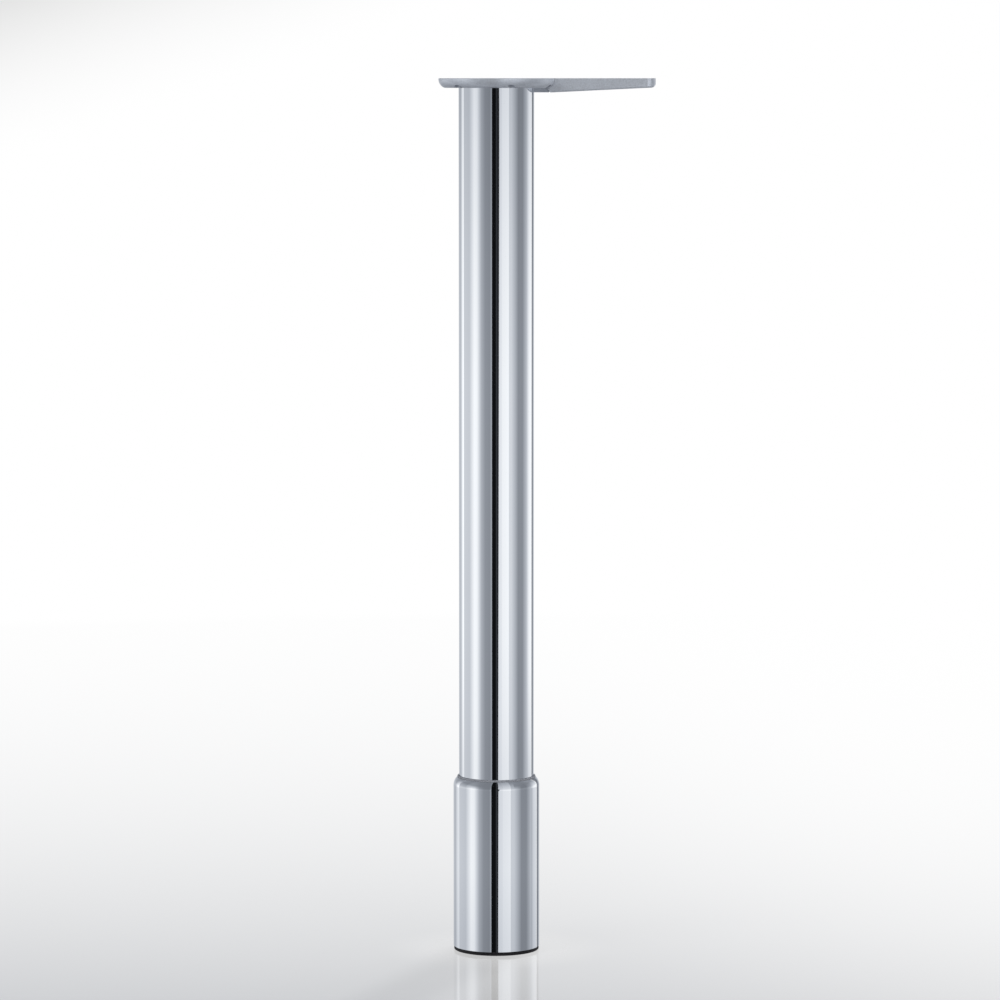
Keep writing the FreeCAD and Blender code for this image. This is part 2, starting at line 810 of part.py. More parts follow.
def add_dish(body):
    """The round dish with its hub, bolt seat and locating spigot."""
    bottom = "(0 - dish_depth)"
    spigot_low = "(0 - dish_depth - spigot_depth)"
    spigot = f"({TUBE_BORE} - seating_gap)"
    spigot_in = f"({spigot} - spigot_wall)"
    counterbore = "(lock_radius + bolt_room)"
    hole = "(bolt_radius + bolt_room)"
    corners = [
        (hole, f"(0 - {HUB_DEPTH})"),
        ("hub_radius", f"(0 - {HUB_DEPTH})"),
        ("hub_radius", bottom),
        (spigot_in, bottom),
        (spigot_in, spigot_low),
        (f"({spigot} - spigot_chamfer)", spigot_low),
        (spigot, f"({spigot_low} + spigot_chamfer)"),
        (spigot, bottom),
        (f"({DISH_RADIUS} - flank_inset)", bottom, "flank_arc", 1),
        (DISH_RADIUS, "(0 - flank_start)"),
        (DISH_RADIUS, "(0 - dish_edge)"),
        (f"({DISH_RADIUS} - dish_edge)", "0"),
        (counterbore, "0"),
        (counterbore, f"(0 - {HUB_SEAT})"),
        (hole, f"(0 - {HUB_SEAT})"),
    ]
    turned(body, "dish_body", corners)


def make_bracket():
    """Die-cast bracket: the same arm along +X and +Y, joined by a round dish that sits on the tube."""
    body = new_body("mounting_bracket", "leg_height")
    add_arm(body)
    diagonal = body.newObject("PartDesign::Plane", "arm_diagonal")
    diagonal.AttachmentSupport = (plane(body, "XZ_Plane"), "")
    diagonal.MapMode = "FlatFace"
    turn = FreeCAD.Rotation(FreeCAD.Vector(0, 1, 0), DIAGONAL)
    diagonal.AttachmentOffset = FreeCAD.Placement(FreeCAD.Vector(0, 0, 0), turn)
    doc.recompute()
    pair = body.newObject("PartDesign::Mirrored", "arm_pair")
    pair.TransformMode = "Whole shape"
    pair.MirrorPlane = (diagonal, [""])
    settle(body, pair)
    corner = "(arm_offset + arm_width)"
    spread = f"({corner} + arm_corner)"
    inside = f"({corner} - arm_wall)"
    web = [
        (spread, corner, "arm_corner", -1),
        (corner, spread),
        (inside, spread),
        (inside, inside),
        (spread, inside),
    ]
    pad(body, outline(body, "arm_web", "XY_Plane", web), "dish_depth", down=True)
    add_dish(body)
    rim = f"({DISH_RADIUS} - core_rim)"
    floor = "(0 - core_depth)"
    core = [("hub_radius", floor), (rim, floor), (rim, "0"), ("hub_radius", "0")]
    turned(body, "dish_core", core, "Groove")
    rib = box(
        body,
        "dish_rib",
        ("(hub_radius - dish_rib_width / 2)", "(0 - dish_rib_width / 2)"),
        (f"({rim} + dish_rib_width / 2)", "(dish_rib_width / 2)"),
    )
    around(body, [pad(body, rib, "(core_depth + seating_gap)", down=True)], DISH_RIBS)
    pitch = f"({DISH_RADIUS} - screw_inset)"
    spot = [(f"({pitch} * {DIAGONAL_SHARE!r})", f"({pitch} * {DIAGONAL_SHARE!r})")]
    hole = discs(body, "dish_hole", spot, "screw_radius")
    around(body, [cut(body, hole, "(dish_depth + seating_gap)")], DISH_SCREWS)
    seat = discs(body, "dish_recess", spot, "screw_recess_radius", "(0 - screw_seat)")
    around(body, [cut(body, seat, "dish_depth")], DISH_SCREWS)
    return body


bodies = [
    make_bracket(),
    socket_screw(
        "centre_bolt", BOLT_TIP, "bolt_radius", "bolt_length",
        "bolt_head_radius", "bolt_head_height", "bolt_key", "bolt_key_depth",
    ),
    make_lock_washer(),
    make_top_insert(),
    ring("leg_tube", TUBE_LOW, TUBE_BORE, "tube_radius", f"({DISH_LOW} - {TUBE_LOW})"),
    make_end_plug(),
    make_wear_ring(),
    make_spindle_nut(),
    make_nut_screws(),
    make_foot_sleeve(),
    make_guide_ring(),
    make_foot_base(),
    make_spindle(),
    ring(
        "clamp_washer", BASE_LOW, "(spindle_bolt_radius + washer_room)",
        "clamp_radius", "clamp_height",
    ),
    make_pivot_screw(),
    ring(
        "end_stop_washer", SPINDLE_TOP, "(spindle_bolt_radius + washer_room)",
        "stop_radius", "stop_height",
    ),
    socket_screw(
        "end_stop_screw", f"({SPINDLE_TOP} + stop_height - stop_bolt_length)",
        "spindle_bolt_radius", "stop_bolt_length", "stop_head_radius",
        "stop_head_height", "stop_key", "stop_key_depth",
    ),
    ring(
        "thrust_washer", PLATE_TOP, "(pivot_radius + free_gap)", "thrust_radius",
        "thrust_height",
    ),
    make_glide_plate(),
    make_glide_pad(),
]
doc.recompute()

for item in doc.Objects:
    if "Invalid" in item.State or "Error" in item.State:
        raise ValueError(f"{item.Name} failed: {item.State}")
for body in bodies:
    if body.Shape.isNull() or not body.Shape.isValid() or not body.Shape.Solids:
        raise ValueError(f"{body.Label} has no sound shape")

os.makedirs("parts", exist_ok=True)
for body in bodies:
    body.Shape.exportStep(os.path.join("parts", f"{body.Label}.step"))
    print(body.Label, len(body.Shape.Solids), round(body.Shape.Volume), len(body.Shape.Faces))
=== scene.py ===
import math
import typing

import bpy
import numpy as np
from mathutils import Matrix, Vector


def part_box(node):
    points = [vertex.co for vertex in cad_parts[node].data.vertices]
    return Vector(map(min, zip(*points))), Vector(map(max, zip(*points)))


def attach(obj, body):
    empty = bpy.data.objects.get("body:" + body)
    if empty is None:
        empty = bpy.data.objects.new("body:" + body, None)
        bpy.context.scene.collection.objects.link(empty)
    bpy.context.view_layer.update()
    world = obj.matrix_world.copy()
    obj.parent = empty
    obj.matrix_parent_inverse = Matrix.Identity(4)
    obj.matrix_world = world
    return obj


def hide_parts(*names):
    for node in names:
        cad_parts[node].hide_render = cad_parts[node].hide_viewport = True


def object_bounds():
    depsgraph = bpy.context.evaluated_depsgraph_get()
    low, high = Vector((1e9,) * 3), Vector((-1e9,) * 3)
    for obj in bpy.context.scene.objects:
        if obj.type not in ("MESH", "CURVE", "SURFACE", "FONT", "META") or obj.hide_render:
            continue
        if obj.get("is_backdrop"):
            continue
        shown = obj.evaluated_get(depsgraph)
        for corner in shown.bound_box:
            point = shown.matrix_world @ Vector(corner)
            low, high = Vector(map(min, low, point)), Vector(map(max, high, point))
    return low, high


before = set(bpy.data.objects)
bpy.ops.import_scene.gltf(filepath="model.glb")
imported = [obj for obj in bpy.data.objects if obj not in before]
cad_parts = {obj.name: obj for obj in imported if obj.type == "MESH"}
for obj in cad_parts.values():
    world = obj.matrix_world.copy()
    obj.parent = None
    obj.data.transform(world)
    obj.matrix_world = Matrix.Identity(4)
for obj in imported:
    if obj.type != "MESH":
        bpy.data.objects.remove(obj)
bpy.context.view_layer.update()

bl_info = {
    "name": "Height Adjustable Table Leg",
    "version": (1, 0, 0),
    "blender": (4, 5, 0),
    "location": "View3D > Sidebar > Table Leg",
    "description": "Finishes, spindle thread and studio for a height adjustable table leg",
    "category": "Object",
}

MM = 0.001

# How high the finishes' fine bumps stand, and how deep a crevice has to be to get painted shade in the
# lacquer's colour.
LACQUER_PEEL = 0.2 * MM
PLASTIC_SKIN = 0.2 * MM
TOOL_MARK = 0.05 * MM
CAST_SKIN = 0.3 * MM
CREVICE_SHADE_DEPTH = 1.7 * MM

# The spindle's surface: points round it, rings along it, and the plain stretches at the thread's ends.
SPINDLE_SIDES = 96
THREAD_STEP = 0.25 * MM
THREAD_START = 1.0 * MM
THREAD_STOP = 1.6 * MM
THREAD_RUNOUT = 2.0 * MM
CHAMFER_RISE = 1.4 * MM
CHAMFER_START = 0.1 * MM
CHAMFER_END = 1.5 * MM


class Value:
    """A socket of a node tree, on which sums are written as Python expressions."""

    def __init__(self, look, socket):
        self.look = look
        self.socket = socket

    def __add__(self, other):
        return self.look.math("ADD", self, other)

    def __radd__(self, other):
        return self.look.math("ADD", other, self)

    def __sub__(self, other):
        return self.look.math("SUBTRACT", self, other)

    def __rsub__(self, other):
        return self.look.math("SUBTRACT", other, self)

    def __mul__(self, other):
        return self.look.math("MULTIPLY", self, other)

    def __rmul__(self, other):
        return self.look.math("MULTIPLY", other, self)

    def __truediv__(self, other):
        return self.look.math("DIVIDE", self, other)

    def __rtruediv__(self, other):
        return self.look.math("DIVIDE", other, self)


class Look:
    """A material or world under construction: makes nodes and joins them."""

    def __init__(self, owner):
        owner.use_nodes = True
        self.owner = owner
        self.tree = owner.node_tree
        self.tree.nodes.clear()

    def put(self, node, name, value):
        """Links or sets one input of a node."""
        socket = node.inputs[name]
        if isinstance(value, Value):
            self.tree.links.new(value.socket, socket)
        else:
            socket.default_value = value

    def node(self, kind, settings=None, inputs=None, out=0):
        """Adds a node of any kind, sets it up, feeds it and gives one of its outputs."""
        node = self.tree.nodes.new(kind)
        for name, value in (settings or {}).items():
            setattr(node, name, value)
        for name, value in (inputs or {}).items():
            self.put(node, name, value)
        return Value(self, node.outputs[out]) if node.outputs else None

    def math(self, operation, first, second=0.0):
        """Adds one step of arithmetic."""
        return self.node("ShaderNodeMath", {"operation": operation}, {0: first, 1: second})

    def clamp(self, value):
        """The value, kept between 0 and 1."""
        return self.node("ShaderNodeClamp", None, {"Value": value})

    def step(self, value, low, high):
        """0 below low, 1 above high and smooth between."""
        settings = {"interpolation_type": "SMOOTHSTEP"}
        inputs = {"Value": value, "From Min": low, "From Max": high}
        return self.node("ShaderNodeMapRange", settings, inputs)

    def mix(self, factor, first, second):
        """Mixes two colours."""
        settings = {"data_type": "RGBA"}
        inputs = {"Factor": factor, 6: first, 7: second}
        return self.node("ShaderNodeMix", settings, inputs, out=2)

    def blend(self, factor, first, second):
        """Mixes two shaders."""
        return self.node("ShaderNodeMixShader", None, {0: factor, 1: first, 2: second})

    def place(self):
        """Object coordinates, in metres in the leg's own frame."""
        return self.node("ShaderNodeTexCoord", out="Object")

    def axes(self, vector):
        """The three coordinates of a vector."""
        parts = self.tree.nodes.new("ShaderNodeSeparateXYZ")
        self.put(parts, "Vector", vector)
        return [Value(self, parts.outputs[name]) for name in "XYZ"]

    def noise(self, vector, scale, detail=3.0, roughness=0.5):
        """Cloudy noise round 0.5, with this many clouds to the metre."""
        inputs = {"Vector": vector, "Scale": scale, "Detail": detail, "Roughness": roughness}
        return self.node("ShaderNodeTexNoise", None, inputs, out="Fac")

    def bump(self, height, strength, distance):
        """Small relief from a height between 0 and 1."""
        inputs = {"Height": height, "Strength": strength, "Distance": distance}
        return self.node("ShaderNodeBump", None, inputs, out="Normal")

    def surface(self, **inputs):
        """Closes the material with one principled shader; underscores stand for blanks."""
        named = {name.replace("_", " "): value for name, value in inputs.items()}
        shader = self.node("ShaderNodeBsdfPrincipled", None, named)
        self.close(shader)

    def close(self, shader):
        """Joins the last shader to the output."""
        kind = "World" if isinstance(self.owner, bpy.types.World) else "Material"
        self.node(f"ShaderNodeOutput{kind}", None, {"Surface": shader})


def grey(level, blue=0.0):
    """A grey of this level, made cooler by a share."""
    return (level * (1 - blue), level * (1 - blue * 0.4), level * (1 + blue * 0.6), 1.0)


def shade(colour, factor):
    """A colour made lighter or darker by a factor."""
    return (*(min(1.0, c * factor) for c in colour[:3]), 1.0)


def new_look(name):
    """Starts a material."""
    return Look(bpy.data.materials.new(name))


def polished_chrome(colour, haze):
    """Mirror plating: almost no colour, with faint cloudy changes of sheen from wiping."""
    look = new_look("polished_chrome")
    place = look.place()
    cloud = look.noise(place, scale=9.0, detail=2.0)
    fine = look.noise(place, scale=260.0, detail=2.0)
    look.surface(
        Base_Color=look.mix(look.clamp(cloud * 1.4 - 0.2), shade(colour, 0.985), shade(colour, 1.01)),
        Metallic=1.0,
        Roughness=haze * (0.7 + 0.5 * cloud + 0.1 * fine),
    )
    return look.owner


def silver_lacquer(colour):
    """Satin metal lacquer over a casting: bright and dark grain, soft orange peel and painted shade in inner
    corners.
    """
    look = new_look("silver_lacquer")
    place = look.place()
    grain = look.noise(place, scale=2600.0, detail=2.0, roughness=0.7)
    flake = look.noise(place, scale=5200.0, detail=1.0)
    peel = look.noise(place, scale=420.0, detail=2.0)
    cloud = look.noise(place, scale=22.0, detail=2.0)
    mottle = look.noise(place, scale=1000.0, detail=2.0, roughness=0.6)
    spread = (grain - 0.5) * 2.6 + (mottle - 0.5) * 1.9 + (cloud - 0.5) * 0.6 + 0.56
    tint = look.mix(look.clamp(spread), shade(colour, 0.8), shade(colour, 1.07))
    # Painted shade: ambient occlusion darkens the colour towards a quarter of it in inner corners and
    # creases.
    inputs = {"Distance": CREVICE_SHADE_DEPTH}
    painted_shade_openness = look.node("ShaderNodeAmbientOcclusion", {"samples": 8}, inputs, out="AO")
    look.surface(
        Base_Color=look.mix(look.clamp(painted_shade_openness * 1.7 - 0.6), shade(colour, 0.25), tint),
        Metallic=0.55,
        Roughness=0.29 + 0.1 * flake,
        Normal=look.bump(grain * 0.5 + peel, strength=0.16, distance=LACQUER_PEEL),
    )
    return look.owner


def moulded_plastic(name, colour, roughness, contrast, shine=0.5):
    """Moulded plastic with an eroded skin: mottled colour and a fine leathery bump."""
    look = new_look(name)
    place = look.place()
    skin = look.noise(place, scale=1400.0, detail=3.0, roughness=0.6)
    cloud = look.noise(place, scale=60.0, detail=2.0)
    look.surface(
        Base_Color=look.mix(cloud, shade(colour, 1 - contrast), shade(colour, 1 + contrast)),
        Specular_IOR_Level=shine,
        Roughness=roughness + 0.14 * skin,
        Normal=look.bump(skin, strength=0.05, distance=PLASTIC_SKIN),
    )
    return look.owner


def turned_metal(name, colour, roughness, feed):
    """Metal off the lathe: fine tool rings, feed apart along the axis, and cloudy patches of dulling."""
    look = new_look(name)
    place = look.place()
    across, along, up = look.axes(place)
    radius = look.math("SQRT", across * across + along * along)
    ring = look.math("SINE", (up + radius) * (2 * math.pi / feed))
    cloud = look.noise(place, scale=180.0, detail=3.0)
    dull = look.clamp(ring * 0.15 + cloud)
    look.surface(
        Base_Color=look.mix(dull, shade(colour, 0.82), shade(colour, 1.12)),
        Metallic=1.0,
        Roughness=roughness + 0.12 * cloud + 0.03 * ring,
        Normal=look.bump(ring, strength=0.08, distance=TOOL_MARK),
    )
    return look.owner


def cast_metal(colour):
    """Raw casting: rough skin with small pits and uneven grey."""
    look = new_look("cast_metal")
    place = look.place()
    skin = look.noise(place, scale=900.0, detail=4.0, roughness=0.65)
    cloud = look.noise(place, scale=70.0, detail=3.0)
    uneven = look.clamp(cloud * 0.7 + skin * 0.3)
    look.surface(
        Base_Color=look.mix(uneven, shade(colour, 0.75), shade(colour, 1.2)),
        Metallic=0.85,
        Roughness=0.5 + 0.2 * skin,
        Normal=look.bump(skin, strength=0.3, distance=CAST_SKIN),
    )
    return look.owner


def dress(node, material):
    """Gives a solid its finish."""
    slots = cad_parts[node].data.materials
    slots.clear()
    slots.append(material)


def new_piece(name, points, faces):
    """A mesh object at the origin from arrays of points and faces."""
    mesh = bpy.data.meshes.new(name)
    mesh.from_pydata(points, [], faces)
    mesh.update()
    piece = bpy.data.objects.new(name, mesh)
    bpy.context.scene.collection.objects.link(piece)
    return piece


def grid_faces(rows, columns, wrap):
    """Quads of a grid of rows by columns; with wrap the last column joins the first."""
    row, column = np.meshgrid(
        np.arange(rows - 1), np.arange(columns if wrap else columns - 1), indexing="ij"
    )
    after = (column + 1) % columns
    quads = [
        row * columns + column,
        row * columns + after,
        (row + 1) * columns + after,
        (row + 1) * columns + column,
    ]
    return np.stack(quads, axis=-1).reshape(-1, 4)


def hexagon_radius(angle, flats):
    """Radius of a hexagon with a corner at angle 0: half its flats over the cosine from a side's middle."""
    sixth = math.pi / 3
    return flats / 2 / np.cos((angle % sixth) - sixth / 2)


def thread_radius(angle, height, crest, depth, pitch):
    """Radius of a right-hand trapezoidal thread.

    The height in pitches, less the angle's share of a turn, is the place in the profile.
    The profile falls and climbs over a sixth of the pitch each, between flats a third of it wide.
    """
    share = (height / pitch - angle / (2 * math.pi)) % 1.0
    away = np.abs(share - 0.5) * 2
    return crest - depth * np.clip((away - 1 / 3) / (1 / 3), 0, 1)


def spindle_surface(angle, low, high, cut):
    """Radius and height of the spindle over a grid of rings by angle, from bore to bore.

    The rings lead from the lower bore over the hexagon spigot, the thread and the chamfer to the upper bore.
    The thread's depth grows from nothing, and dies out again, in proportion to the way from its ends.
    """
    bottom, top, crest = low[2], high[2], high[0]
    shoulder = bottom + cut.spigot
    circle = np.ones_like(angle)
    bore = cut.bore * circle
    spigot = np.minimum(hexagon_radius(angle, cut.flats), crest)
    climb = np.arange(shoulder + THREAD_START, top - THREAD_STOP, THREAD_STEP)
    runout = np.clip(np.minimum(climb - climb[0], climb[-1] - climb) / THREAD_RUNOUT, 0, 1)
    depth = cut.depth * runout[:, None]
    radius = np.concatenate([
        [bore, bore, spigot, spigot, crest * circle],
        thread_radius(angle, climb[:, None], crest, depth, cut.pitch),
        [(crest - CHAMFER_START) * circle, (crest - CHAMFER_END) * circle, bore, bore],
    ])
    height = np.concatenate([
        [bottom + cut.bore_low, bottom, bottom, shoulder, shoulder],
        climb,
        [top - CHAMFER_RISE, top, top, top - cut.bore_high],
    ])
    return radius, height[:, None] * circle


class LEG_PG_finish(bpy.types.PropertyGroup):
    """Colours of the leg's finishes."""

    chrome: bpy.props.FloatVectorProperty(
        name="Chrome", description="Colour that the plating reflects", subtype="COLOR",
        size=4, min=0, max=1, default=(0.86, 0.88, 0.905, 1),
    )
    chrome_haze: bpy.props.FloatProperty(
        name="Chrome haze", description="Roughness of the plating", subtype="FACTOR",
        min=0, max=1, default=0.035,
    )
    lacquer: bpy.props.FloatVectorProperty(
        name="Lacquer", description="Colour of the bracket's silver lacquer", subtype="COLOR",
        size=4, min=0, max=1, default=(0.576, 0.61, 0.67, 1),
    )
    ring: bpy.props.FloatVectorProperty(
        name="Guide ring", description="Colour of the ring in the sleeve's mouth",
        subtype="COLOR", size=4, min=0, max=1, default=(0.222, 0.234, 0.264, 1),
    )
    pad: bpy.props.FloatVectorProperty(
        name="Pad", description="Colour of the glide pad", subtype="COLOR",
        size=4, min=0, max=1, default=(0.01, 0.009, 0.011, 1),
    )


class LEG_PG_thread(bpy.types.PropertyGroup):
    """Sizes of the spindle's thread."""

    pitch: bpy.props.FloatProperty(
        name="Pitch", description="Rise of the thread in one turn", unit="LENGTH",
        default=4 * MM,
    )
    depth: bpy.props.FloatProperty(
        name="Depth", description="Depth of the thread", unit="LENGTH", default=2.25 * MM
    )
    flats: bpy.props.FloatProperty(
        name="Spigot flats", description="Width of the hexagon spigot across its flats",
        unit="LENGTH", default=13.98 * MM,
    )
    spigot: bpy.props.FloatProperty(
        name="Spigot length", description="Length of the hexagon spigot", unit="LENGTH",
        default=6.2 * MM,
    )
    bore: bpy.props.FloatProperty(
        name="Bore", description="Radius of the tapped bores", unit="LENGTH",
        default=4 * MM,
    )
    bore_low: bpy.props.FloatProperty(
        name="Lower bore", description="Depth of the lower bore", unit="LENGTH",
        default=18 * MM,
    )
    bore_high: bpy.props.FloatProperty(
        name="Upper bore", description="Depth of the upper bore", unit="LENGTH",
        default=22 * MM,
    )


class LEG_PG_stage(bpy.types.PropertyGroup):
    """Camera, floor and light."""

    distance: bpy.props.FloatProperty(
        name="Camera distance", description="From the camera to the tube's axis",
        unit="LENGTH", default=3.7,
    )
    height: bpy.props.FloatProperty(
        name="Camera height", description="Height of the camera over the floor",
        unit="LENGTH", default=0.7,
    )
    aside: bpy.props.FloatProperty(
        name="Camera aside", description="How far the camera stands to the right",
        unit="LENGTH", default=0.0029,
    )
    lens: bpy.props.FloatProperty(
        name="Lens", description="Focal length in millimetres", default=167.0
    )
    pitch: bpy.props.FloatProperty(
        name="Camera pitch", description="How far the camera looks down", subtype="ANGLE",
        default=math.radians(5.195),
    )
    floor_near: bpy.props.FloatVectorProperty(
        name="Floor", description="Colour of the floor by the foot", subtype="COLOR",
        size=4, min=0, max=1, default=(0.377, 0.38, 0.386, 1),
    )
    floor_dusk: bpy.props.FloatProperty(
        name="Floor dusk", description="Share of the shaded floor by the foot",
        subtype="FACTOR", min=0, max=1, default=0.258,
    )
    floor_fade: bpy.props.FloatProperty(
        name="Floor fade", description="Distance over which the floor turns white",
        unit="LENGTH", default=0.68,
    )
    gloss: bpy.props.FloatProperty(
        name="Floor gloss", description="Floor's mirror, as a multiple of its dusk",
        min=0, max=3, default=1.25,
    )
    corner: bpy.props.FloatProperty(
        name="Backdrop corner", description="Light of the backdrop's upper left corner",
        subtype="FACTOR", min=0, max=1, default=0.72,
    )
    daylight: bpy.props.FloatProperty(
        name="Room light", description="Strength of the light from all round", default=0.96
    )
    card_distance: bpy.props.FloatProperty(
        name="Card distance", description="From the tube to the studio's cards",
        unit="LENGTH", default=6.0,
    )


class LEG_OT_chrome(bpy.types.Operator):
    """Plates the tube and the foot sleeve"""

    bl_idname = "table_leg.chrome"
    bl_label = "Chrome tube and sleeve"

    def execute(self, context):
        finish = context.scene.leg_finish
        plating = polished_chrome(tuple(finish.chrome), finish.chrome_haze)
        for node in ("leg_tube", "foot_sleeve"):
            dress(node, plating)
        return {"FINISHED"}


class LEG_OT_bracket(bpy.types.Operator):
    """Lacquers the mounting bracket"""

    bl_idname = "table_leg.bracket"
    bl_label = "Lacquer bracket"

    def execute(self, context):
        dress("mounting_bracket", silver_lacquer(tuple(context.scene.leg_finish.lacquer)))
        return {"FINISHED"}


class LEG_OT_plastics(bpy.types.Operator):
    """Finishes the guide ring, the pad and the hidden mouldings"""

    bl_idname = "table_leg.plastics"
    bl_label = "Plastic pieces"

    def execute(self, context):
        finish = context.scene.leg_finish
        ring = moulded_plastic("grey_plastic", tuple(finish.ring), roughness=0.42, contrast=0.07)
        pad = moulded_plastic("black_plastic", tuple(finish.pad), roughness=0.5, contrast=0.3, shine=0.2)
        dark = moulded_plastic("dark_plastic", grey(0.045), roughness=0.5, contrast=0.25)
        white = moulded_plastic("white_plastic", grey(0.78, 0.02), roughness=0.3, contrast=0.05)
        dress("sleeve_guide_ring", ring)
        dress("glide_pad", pad)
        for node in ("tube_end_plug", "glide_plate"):
            dress(node, dark)
        for node in ("plug_wear_ring", "thrust_washer"):
            dress(node, white)
        return {"FINISHED"}


class LEG_OT_hardware(bpy.types.Operator):
    """Finishes the screws, washers, nut, insert and base"""

    bl_idname = "table_leg.hardware"
    bl_label = "Hardware"

    def execute(self, context):
        zinc = turned_metal("zinc_steel", grey(0.56, 0.05), roughness=0.3, feed=0.35 * MM)
        steel = turned_metal("bare_steel", grey(0.44), roughness=0.34, feed=0.5 * MM)
        brass = turned_metal("nut_brass", (0.66, 0.46, 0.2, 1.0), roughness=0.28, feed=0.45 * MM)
        for node in (
            "centre_bolt", "lock_washer", "nut_screws", "clamp_washer", "pivot_screw",
            "end_stop_washer", "end_stop_screw",
        ):
            dress(node, zinc)
        for node in ("tube_top_insert", "threaded_spindle"):
            dress(node, steel)
        dress("spindle_nut", brass)
        dress("foot_base", cast_metal(grey(0.36, 0.02)))
        return {"FINISHED"}


class LEG_OT_spindle(bpy.types.Operator):
    """Cuts the trapezoidal thread of the spindle"""

    bl_idname = "table_leg.spindle"
    bl_label = "Spindle thread"

    def execute(self, context):
        low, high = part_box("threaded_spindle")
        angle = np.linspace(0, 2 * math.pi, SPINDLE_SIDES, endpoint=False)
        radius, height = spindle_surface(angle, low, high, context.scene.leg_thread)
        points = np.stack([radius * np.cos(angle), radius * np.sin(angle), height], axis=-1)
        corners = np.arange(radius.size).reshape(radius.shape)
        faces = grid_faces(*radius.shape, wrap=True).tolist()
        faces += [corners[0, ::-1].tolist(), corners[-1].tolist()]
        piece = new_piece("spindle_thread", points.reshape(-1, 3), faces)
        piece.data.materials.append(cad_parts["threaded_spindle"].data.materials[0])
        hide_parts("threaded_spindle")
        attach(piece, "foot")
        return {"FINISHED"}


class Card(typing.NamedTuple):
    """A curved card of the studio, as mirrors see it.

    Its two sides lie at angles in degrees to the right of the camera, each with its light and its lean.
    Above the leg it turns into the crown's light up to its fade, and below it sinks to its low share.
    """

    name: str
    start: float
    end: float
    light_start: float
    light_end: float
    lean_start: float = 0.0
    lean_end: float = 0.0
    fade: float = 28.0
    low: float = 1.0


CARDS = (
    Card("back_left", -180, -140, 0.64, 0.55),
    Card("rim_glow", -140, -131, 0.62, 0.9),
    Card("rim_strip", -131, -119.5, 1.0, 1.2, low=0.8),
    Card("left_wall", -119.5, -91, 0.7, 0.66),
    Card("left_rise", -91, -72, 0.66, 1.06),
    Card("left_softbox", -72, -61, 1.07, 1.02),
    Card("left_fade", -61, -47, 1.0, 0.49),
    Card("left_dusk", -47, -35, 0.49, 0.33),
    Card("left_dark", -35, -17.5, 0.325, 0.29),
    Card("flag_edge", -17.5, -13.4, 0.4, 0.4),
    Card("black_flag", -13.4, -1.2, 0.006, 0.006, fade=85),
    Card("flag_seam", -1.2, 1.0, 0.045, 0.045, fade=60),
    Card("flag_side", 1.0, 8.9, 0.02, 0.035, lean_end=-3.9, fade=60),
    Card("softbox_edge", 8.9, 17, 0.85, 0.9, lean_start=-3.9, fade=85, low=0.95),
    Card("front_softbox", 17, 39, 0.98, 1.04, fade=85, low=0.926),
    Card("front_wall", 39, 49, 0.76, 0.73, fade=60, low=0.96),
    Card("right_fade", 49, 70, 0.7, 0.32),
    Card("right_dark", 70, 88, 0.3, 0.3),
    Card("right_rise", 88, 108, 0.3, 0.6),
    Card("right_softbox", 108, 120, 0.64, 1.0, low=0.76),
    Card("right_glow", 120, 137, 1.0, 1.08, low=0.76),
    Card("right_gap", 140, 157, 0.28, 0.28),
    Card("back_right", 157, 180, 0.62, 0.64),
)
# The cards' grid: columns, and bands of heights as first, last and count, in degrees over the leg's middle.
CARD_COLUMNS = 9
CARD_BANDS = ((-89.0, -16.0, 19), (-16.0, 5.0, 64), (5.0, 89.0, 43))
# How much of the globe's narrowing overhead the front cards follow, as a power.
OVERHEAD_POWER = 0.4
# How much of their lean the cards have at a few heights.
LEAN_HEIGHTS = (-13.0, 2.0, 3.2, 4.0)
LEAN_SHARES = (1.0, 0.0, 0.0, 1.0)
# Heights from which the cards sink, at which they have sunk, and from which they fade.
LOW_START = -8.5
LOW_END = -11.5
FADE_START = 5.0
# The crown's light: a level, and a share of the card's own light on top.
CROWN_LIGHT = 0.19
CROWN_SHARE = 0.14
# How bright the cards are at a few heights.
CARD_HEIGHTS = (-89.0, -60.0, -30.0, -16.0, -13.7, -12.3, -10.5, -9.3, -7.2, -2.8, 0.0, 2.0, 3.1, 12.0)
CARD_LIGHTS = (0.8, 0.5, 0.62, 0.76, 0.86, 0.97, 0.94, 0.985, 1.02, 1.03, 0.95, 0.86, 0.8, 0.78)
# Tint of a dark and of a bright card.
CARD_SHADE = (0.9, 0.975, 1.12, 1.0)
CARD_WHITE = (0.985, 0.995, 1.01, 1.0)

# The floor's half width, in metres, and its grid lines.
FLOOR_REACH = 14.0
FLOOR_LINES = 41
# Where the floor's painted shade weakens to the right, by what share, and how much faster it turns white
# there.
FLOOR_RIGHT = (-0.1, 0.5)
RIGHT_LIGHTER = 0.55
RIGHT_FASTER = 0.45
# How far to the front the floor's painted shade gets darker, and the distances over which it turns white all
# round.
FLOOR_FRONT = -0.25
FLOOR_WHITE = (0.3, 2.4)
# The floor's faint painted shade from left to right, darker on the left and lighter on the right.
PAPER_SIDES = (-0.6, 0.6)
# The floor's mirror: its blur, and the ring round the foot inside which only a share of it is left.
MIRROR_BLUR = 0.06
RING_SHINE = 0.66
RING_EDGE = (0.04, 0.1)
# The foot's painted shadow on the floor: its light, its turn to the left, and where its edge and its two
# ends fade, in metres.
SHADOW_LIGHT = 0.85
SHADOW_TURN = 20.5
SHADOW_EDGE = (0.008, 0.05)
SHADOW_START = (-0.01, 0.03)
SHADOW_END = (0.35, 1.3)

# The room's light from below, as a share of that from above, and where it rises, as sines of the height.
ROOM_BELOW = 0.46
ROOM_RISE = (-0.6, 0.2)
# The backdrop's painted shade in its upper left corner: the slope of its edge, where it starts and how fast
# it darkens.
CORNER_SLOPE = 0.35
CORNER_START = 0.018
CORNER_FADE = 0.04
